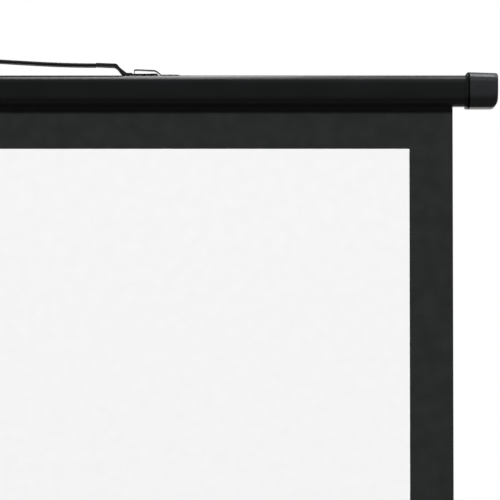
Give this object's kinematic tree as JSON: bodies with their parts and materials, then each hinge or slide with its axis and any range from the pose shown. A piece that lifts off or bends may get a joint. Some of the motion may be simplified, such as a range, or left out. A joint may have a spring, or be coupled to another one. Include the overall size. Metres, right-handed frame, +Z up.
{
  "type": "tripod projector screen",
  "caption": "Roll-up projection screen in a long case on a telescopic mast with a folding three-legged stand.",
  "frame": {"origin": "on the floor, under the middle of the object's bounding box", "axes": "+Z up along the mast, +X along the case to its right end as seen from the front, and the screen faces -Y"},
  "size_m": [1.2206, 0.7078, 1.9364],
  "materials": {
    "black_paint": "semi-gloss black powder coat",
    "black_tube": "satin black enamel",
    "black_aluminium": "satin black anodised",
    "black_plastic": "fine-grained moulding",
    "black_rubber": "matt",
    "black_sheet": "satin black",
    "zinc_steel": "bright zinc plate",
    "raw_aluminium": "mill finish",
    "spring_steel": "oiled",
    "white_cloth": "matt white PVC-coated cloth",
    "border_black": "matt black coating on the cloth"
  },
  "bodies": {
    "stand": {"lower_tube": "black_tube", "tube_plug": "black_rubber", "lower_clamp": "black_plastic", "leg_hub": "black_plastic"},
    "mast_middle": {"middle_tube": "black_tube", "middle_bush": "black_plastic", "upper_clamp": "black_plastic"},
    "mast_top": {"top_tube": "black_tube", "top_bush": "black_plastic", "head_bracket": "black_plastic"},
    "case": {"case_shell": "black_paint", "end_cap_right": "black_plastic", "end_cap_left": "black_plastic", "roller_bracket_right": "zinc_steel", "roller_bracket_left": "zinc_steel", "spring_shaft": "zinc_steel", "ratchet_wheel": "zinc_steel", "handle_strip": "black_plastic", "handle_grip": "black_plastic", "keeper_right": "black_sheet", "keeper_left": "black_sheet", "pivot_plate": "black_sheet", "pivot_washer": "zinc_steel", "border_cloth": "border_black", "picture_cloth": "white_cloth"},
    "roller": {"roller_tube": "raw_aluminium", "cloth_roll": "border_black", "idle_plug": "black_plastic", "drive_plug": "black_plastic", "torsion_spring": "spring_steel"},
    "pawl": {"ratchet_pawl": "zinc_steel"},
    "bar": {"bottom_bar": "black_aluminium", "bar_cap_right": "black_plastic", "bar_cap_left": "black_plastic", "hem_rod": "white_cloth", "bail_bracket": "black_sheet"},
    "bail": {"bail": "zinc_steel"},
    "collar": {"brace_collar": "black_plastic"},
    "lower_clamp_knob": {"lower_knob": "black_plastic"},
    "upper_clamp_knob": {"upper_knob": "black_plastic"},
    "collar_clamp_knob": {"collar_knob": "black_plastic"},
    "case_lock_knob": {"lock_knob": "black_plastic"},
    "leg_back": {"leg_back": "black_tube", "foot_back": "black_rubber", "leg_pin_back": "zinc_steel", "brace_pin_back": "zinc_steel"},
    "leg_right": {"leg_right": "black_tube", "foot_right": "black_rubber", "leg_pin_right": "zinc_steel", "brace_pin_right": "zinc_steel"},
    "leg_left": {"leg_left": "black_tube", "foot_left": "black_rubber", "leg_pin_left": "zinc_steel", "brace_pin_left": "zinc_steel"},
    "brace_back": {"brace_back": "black_tube"},
    "brace_right": {"brace_right": "black_tube"},
    "brace_left": {"brace_left": "black_tube"}
  },
  "joints": [
    {"name": "lower_mast_slide", "type": "slide", "parent": "stand", "child": "mast_middle", "axis": [0, 0, -1], "range_m": [0, 0.419]},
    {"name": "upper_mast_slide", "type": "slide", "parent": "mast_middle", "child": "mast_top", "axis": [0, 0, -1], "range_m": [0, 0.419]},
    {"name": "case_swing", "type": "hinge", "parent": "mast_top", "child": "case", "pos_m": [0, -0.11155, 1.8986], "axis": [0, 1, 0], "range_deg": [0, 90]},
    {"name": "screen_pull", "type": "slide", "parent": "case", "child": "bar", "axis": [0, 0, 1], "range_m": [0, 0.861], "deforming": ["border_cloth", "picture_cloth"]},
    {"name": "roller_spin", "type": "hinge", "parent": "case", "child": "roller", "pos_m": [0, -0.16045, 1.8986], "axis": [-1, 0, 0], "range_deg": [0, 3920]},
    {"name": "pawl_lift", "type": "hinge", "parent": "roller", "child": "pawl", "pos_m": [0.5761, -0.16045, 1.9094], "axis": [-1, 0, 0], "range_deg": [0, 15]},
    {"name": "bail_swing", "type": "hinge", "parent": "bar", "child": "bail", "pos_m": [0, -0.17155, 0.989], "axis": [-1, 0, 0], "range_deg": [-39, 90]},
    {"name": "leg_back_fold", "type": "hinge", "parent": "stand", "child": "leg_back", "pos_m": [0, -0.07755, 0.46075], "axis": [-1, 0, 0], "range_deg": [0, 39.5]},
    {"name": "leg_right_fold", "type": "hinge", "parent": "stand", "child": "leg_right", "pos_m": [0.02944, -0.12855, 0.46075], "axis": [0.5, 0.866, 0], "range_deg": [0, 39.5]},
    {"name": "leg_left_fold", "type": "hinge", "parent": "stand", "child": "leg_left", "pos_m": [-0.02944, -0.12855, 0.46075], "axis": [0.5, -0.866, 0], "range_deg": [0, 39.5]},
    {"name": "brace_back_fold", "type": "hinge", "parent": "leg_back", "child": "brace_back", "pos_m": [0, 0.05933, 0.30873], "axis": [1, 0, 0], "range_deg": [0, 79]},
    {"name": "brace_right_fold", "type": "hinge", "parent": "leg_right", "child": "brace_right", "pos_m": [0.14799, -0.19699, 0.30873], "axis": [-0.5, -0.866, 0], "range_deg": [0, 79]},
    {"name": "brace_left_fold", "type": "hinge", "parent": "leg_left", "child": "brace_left", "pos_m": [-0.14799, -0.19699, 0.30873], "axis": [-0.5, 0.866, 0], "range_deg": [0, 79]},
    {"name": "collar_slide", "type": "slide", "parent": "stand", "child": "collar", "axis": [0, 0, -1], "range_m": [0, 0.10489]},
    {"name": "lower_knob_turn", "type": "hinge", "parent": "stand", "child": "lower_clamp_knob", "pos_m": [0, -0.11155, 0.93157], "axis": [0.866, 0.5, 0], "range_deg": [0, 180]},
    {"name": "upper_knob_turn", "type": "hinge", "parent": "mast_middle", "child": "upper_clamp_knob", "pos_m": [0, -0.11155, 1.39808], "axis": [0.866, 0.5, 0], "range_deg": [0, 180]},
    {"name": "collar_knob_turn", "type": "hinge", "parent": "collar", "child": "collar_clamp_knob", "pos_m": [0, -0.11155, 0.1567], "axis": [0.866, 0.5, 0], "range_deg": [0, 180]},
    {"name": "lock_knob_turn", "type": "hinge", "parent": "mast_top", "child": "case_lock_knob", "pos_m": [0, -0.11155, 1.8986], "axis": [0, 1, 0], "range_deg": [0, 180]}
  ],
  "couplings": [
    {"joint": "roller_spin", "follows": "screen_pull", "rad_per_m": 79.4},
    {"joint": "leg_right_fold", "follows": "leg_back_fold", "ratio": 1},
    {"joint": "leg_left_fold", "follows": "leg_back_fold", "ratio": 1},
    {"joint": "brace_back_fold", "follows": "leg_back_fold", "ratio": 2},
    {"joint": "brace_right_fold", "follows": "leg_back_fold", "ratio": 2},
    {"joint": "brace_left_fold", "follows": "leg_back_fold", "ratio": 2},
    {"joint": "collar_slide", "follows": "leg_back_fold", "m_per_rad": 0.15186}
  ]
}
